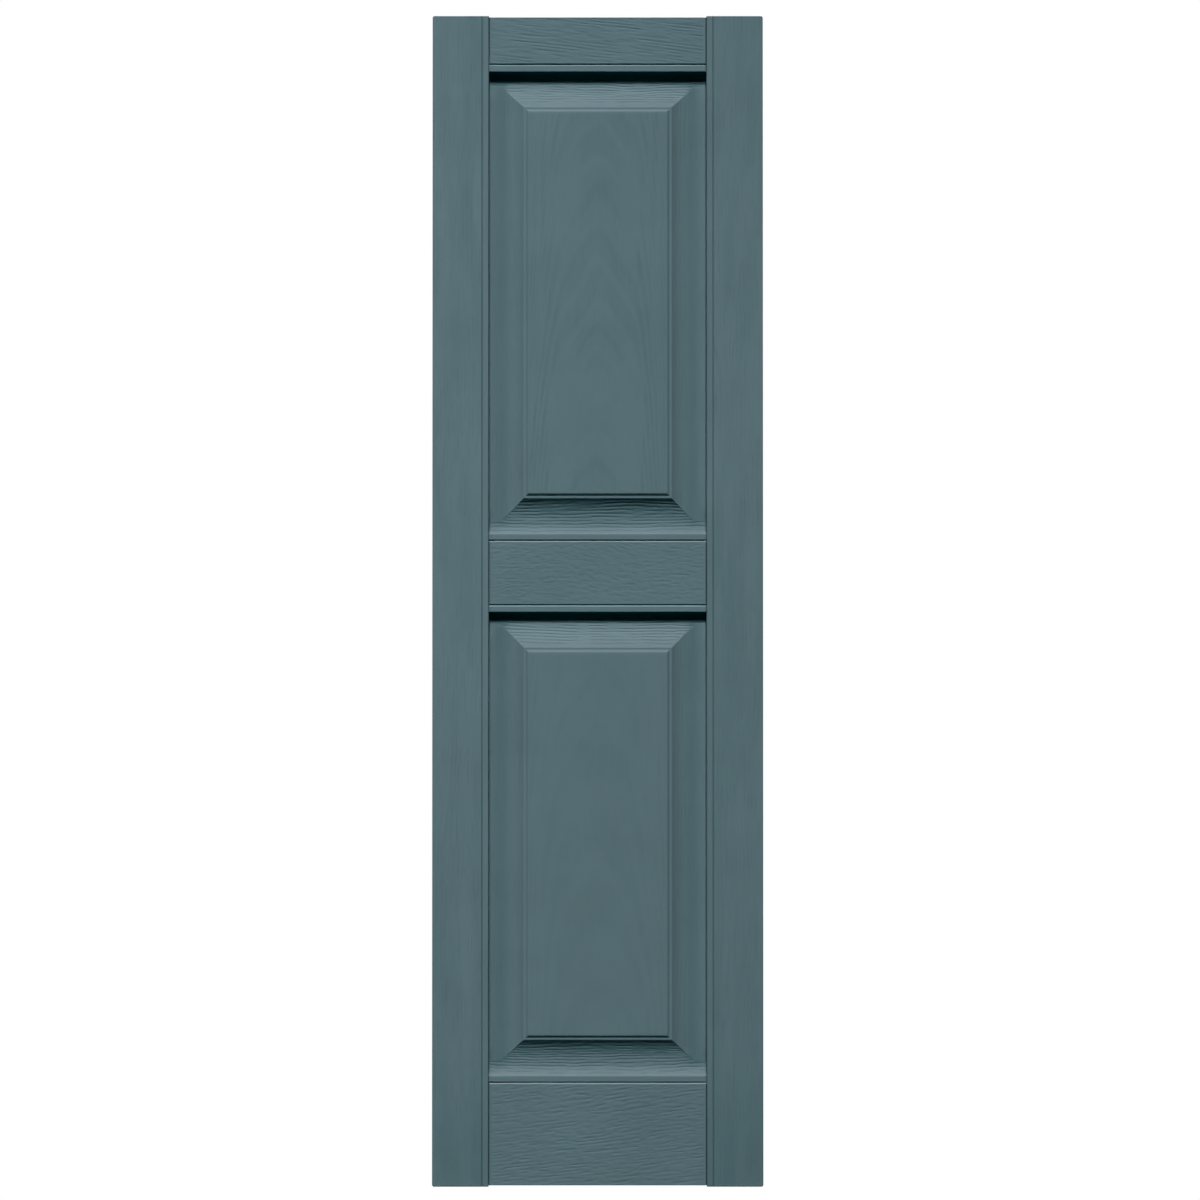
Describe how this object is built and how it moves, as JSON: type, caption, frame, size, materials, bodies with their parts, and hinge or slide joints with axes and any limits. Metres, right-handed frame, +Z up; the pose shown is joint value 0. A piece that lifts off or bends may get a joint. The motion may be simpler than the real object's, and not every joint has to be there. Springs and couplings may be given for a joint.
{
  "type": "raised panel shutter",
  "caption": "Decorative exterior shutter of moulded plastic: full-height stiles, rails between them and raised panels edged with coves, open-backed, fixed flat to a wall beside a window.",
  "frame": {"origin": "middle of the shutter's height and width, on the wall plane that every piece's back lies on", "axes": "+Y into the wall, so the front looks along -Y; +Z up along the stiles; +X to the right seen from the front"},
  "size_m": [0.3746, 0.0286, 1.326],
  "materials": {
    "moulded_body": "matte"
  },
  "bodies": {
    "root": {"left_stile": "moulded_body", "right_stile": "moulded_body", "top_rail": "moulded_body", "middle_rail": "moulded_body", "bottom_rail": "moulded_body", "upper_panel": "moulded_body", "lower_panel": "moulded_body"}
  },
  "joints": []
}
